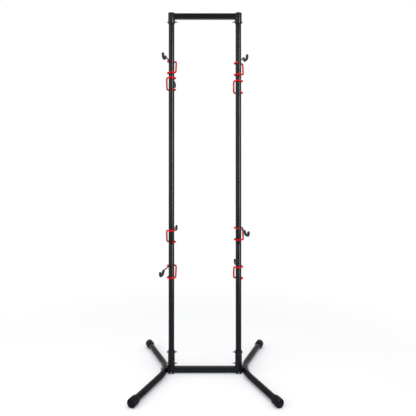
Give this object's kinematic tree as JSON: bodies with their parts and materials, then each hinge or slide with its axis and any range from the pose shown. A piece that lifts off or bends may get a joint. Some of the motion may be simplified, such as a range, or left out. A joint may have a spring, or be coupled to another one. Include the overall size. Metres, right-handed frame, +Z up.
{
  "type": "bike storage tower",
  "caption": "Free-standing tower with twin round posts, splayed V legs with rubber feet, and red-sleeved wire hooks that slide on the posts to hold bicycles.",
  "frame": {"origin": "on the floor, midway between the two posts", "axes": "+Z up, +X to the right seen from the front, -Y towards the front"},
  "size_m": [0.7516, 0.7508, 2.013],
  "materials": {
    "gloss_black_paint": "gloss black powder coat with a faint blue cast, slight orange peel",
    "satin_black_paint": "satin black powder coat",
    "black_plastic": "moulded black plastic, fine texture",
    "foot_rubber": "matt black moulded rubber",
    "zinc_steel": "dull zinc-plated steel",
    "red_vinyl": "glossy dipped red vinyl",
    "grip_rubber": "soft dark grey rubber, matt"
  },
  "bodies": {
    "frame": {"post_lower_left": "gloss_black_paint", "post_middle_left": "gloss_black_paint", "post_upper_left": "gloss_black_paint", "post_plug_left": "black_plastic", "top_sleeve_left": "gloss_black_paint", "base_sleeve_left": "gloss_black_paint", "top_bolt_left": "zinc_steel", "top_nut_left": "zinc_steel", "base_bolt_high_left": "zinc_steel", "base_nut_high_left": "zinc_steel", "base_bolt_low_left": "zinc_steel", "base_nut_low_left": "zinc_steel", "leg_left": "satin_black_paint", "leg_saddle_left": "black_plastic", "leg_bolt_left": "zinc_steel", "foot_cap_front_left": "foot_rubber", "foot_cap_rear_left": "foot_rubber", "post_lower_right": "gloss_black_paint", "post_middle_right": "gloss_black_paint", "post_upper_right": "gloss_black_paint", "post_plug_right": "black_plastic", "top_sleeve_right": "gloss_black_paint", "base_sleeve_right": "gloss_black_paint", "top_bolt_right": "zinc_steel", "top_nut_right": "zinc_steel", "base_bolt_high_right": "zinc_steel", "base_nut_high_right": "zinc_steel", "base_bolt_low_right": "zinc_steel", "base_nut_low_right": "zinc_steel", "leg_right": "satin_black_paint", "leg_saddle_right": "black_plastic", "leg_bolt_right": "zinc_steel", "foot_cap_front_right": "foot_rubber", "foot_cap_rear_right": "foot_rubber", "top_crossbar": "gloss_black_paint", "base_crossbar": "gloss_black_paint"},
    "upper_front_left_hook": {"upper_front_left_hook_rod": "satin_black_paint", "upper_front_left_hook_sleeve": "red_vinyl", "upper_front_left_hook_grip": "grip_rubber"},
    "upper_rear_left_hook": {"upper_rear_left_hook_rod": "satin_black_paint", "upper_rear_left_hook_sleeve": "red_vinyl", "upper_rear_left_hook_grip": "grip_rubber"},
    "upper_front_right_hook": {"upper_front_right_hook_rod": "satin_black_paint", "upper_front_right_hook_sleeve": "red_vinyl", "upper_front_right_hook_grip": "grip_rubber"},
    "upper_rear_right_hook": {"upper_rear_right_hook_rod": "satin_black_paint", "upper_rear_right_hook_sleeve": "red_vinyl", "upper_rear_right_hook_grip": "grip_rubber"},
    "lower_rear_left_hook": {"lower_rear_left_hook_rod": "satin_black_paint", "lower_rear_left_hook_sleeve": "red_vinyl", "lower_rear_left_hook_grip": "grip_rubber"},
    "lower_front_left_hook": {"lower_front_left_hook_rod": "satin_black_paint", "lower_front_left_hook_sleeve": "red_vinyl", "lower_front_left_hook_grip": "grip_rubber"},
    "lower_front_right_hook": {"lower_front_right_hook_rod": "satin_black_paint", "lower_front_right_hook_sleeve": "red_vinyl", "lower_front_right_hook_grip": "grip_rubber"},
    "lower_rear_right_hook": {"lower_rear_right_hook_rod": "satin_black_paint", "lower_rear_right_hook_sleeve": "red_vinyl", "lower_rear_right_hook_grip": "grip_rubber"}
  },
  "joints": [
    {"name": "upper_front_left_hook_slide", "type": "slide", "parent": "frame", "child": "upper_front_left_hook", "axis": [0, 0, 1], "range_m": [-0.008, 0.18]},
    {"name": "upper_rear_left_hook_slide", "type": "slide", "parent": "frame", "child": "upper_rear_left_hook", "axis": [0, 0, 1], "range_m": [-0.35, 0.008]},
    {"name": "upper_front_right_hook_slide", "type": "slide", "parent": "frame", "child": "upper_front_right_hook", "axis": [0, 0, 1], "range_m": [-0.012, 0.19]},
    {"name": "upper_rear_right_hook_slide", "type": "slide", "parent": "frame", "child": "upper_rear_right_hook", "axis": [0, 0, 1], "range_m": [-0.35, 0.012]},
    {"name": "lower_rear_left_hook_slide", "type": "slide", "parent": "frame", "child": "lower_rear_left_hook", "axis": [0, 0, 1], "range_m": [-0.055, 0.35]},
    {"name": "lower_front_left_hook_slide", "type": "slide", "parent": "frame", "child": "lower_front_left_hook", "axis": [0, 0, 1], "range_m": [-0.35, 0.055]},
    {"name": "lower_front_right_hook_slide", "type": "slide", "parent": "frame", "child": "lower_front_right_hook", "axis": [0, 0, 1], "range_m": [-0.062, 0.35]},
    {"name": "lower_rear_right_hook_slide", "type": "slide", "parent": "frame", "child": "lower_rear_right_hook", "axis": [0, 0, 1], "range_m": [-0.35, 0.062]}
  ]
}
